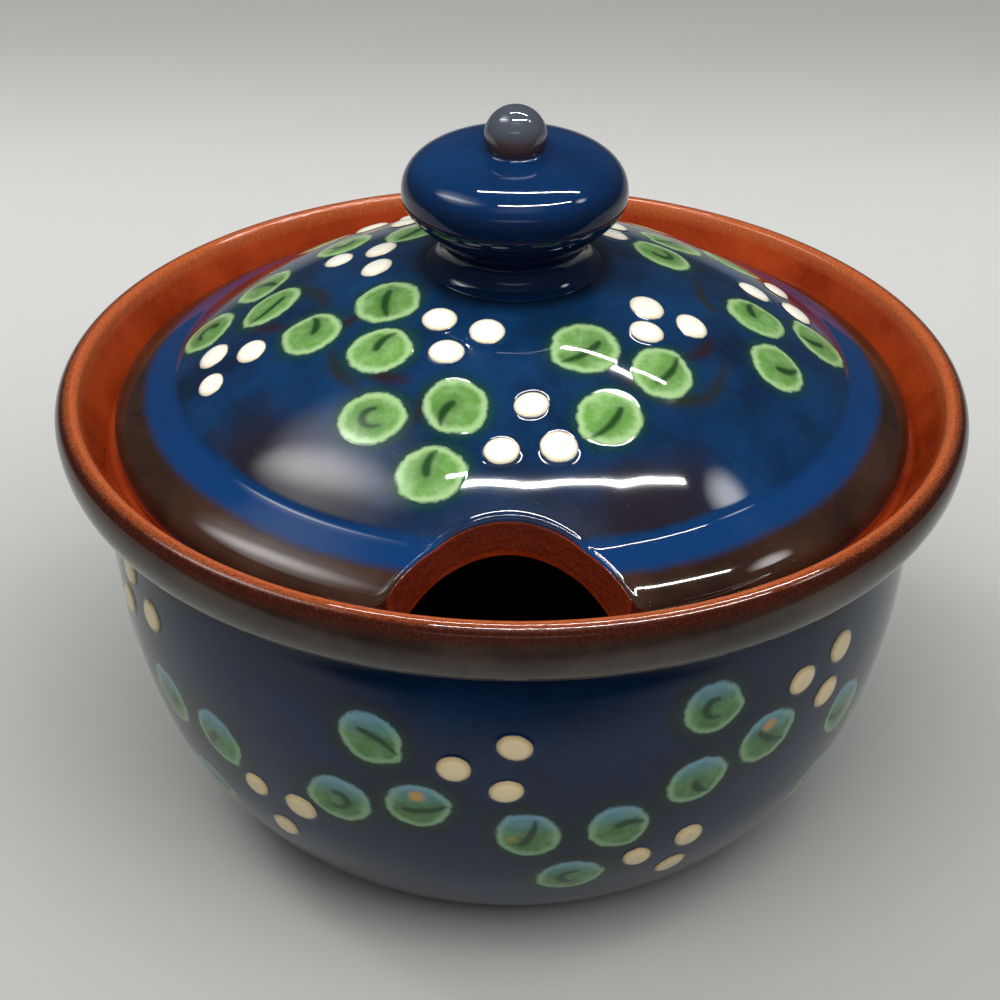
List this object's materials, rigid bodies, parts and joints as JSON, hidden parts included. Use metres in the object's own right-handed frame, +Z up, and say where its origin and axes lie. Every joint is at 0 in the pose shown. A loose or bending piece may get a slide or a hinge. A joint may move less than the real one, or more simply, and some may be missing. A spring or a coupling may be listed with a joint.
{
  "type": "jam pot with lid",
  "caption": "Round slip-decorated earthenware jam pot with a flared rim and a domed drop-in lid that has a spoon notch and a mushroom knob.",
  "frame": {"origin": "centre of the foot ring, on the table", "axes": "+Z up along the pot's axis, -Y towards the spoon notch"},
  "size_m": [0.13, 0.13, 0.1109],
  "materials": {
    "pot_glaze": "glossy cobalt glaze over red earthenware, brown rim band, bare red foot",
    "lid_glaze": "glossy cobalt glaze over red earthenware with a brown brim",
    "knob_glaze": "glossy cobalt glaze",
    "tip_glaze": "clear glaze over brown slip",
    "white_slip": "raised cream slip under clear glaze",
    "green_slip": "raised green slip under clear glaze"
  },
  "bodies": {
    "pot": {"pot": "pot_glaze", "pot_berries": "white_slip", "pot_leaves": "green_slip"},
    "lid": {"lid": "lid_glaze", "lid_knob": "knob_glaze", "knob_tip": "tip_glaze", "lid_berries": "white_slip", "lid_leaves": "green_slip"}
  },
  "joints": [
    {"name": "lid_lift", "type": "slide", "parent": "pot", "child": "lid", "axis": [0, 0, 1], "range_m": [0, 0.08]}
  ]
}
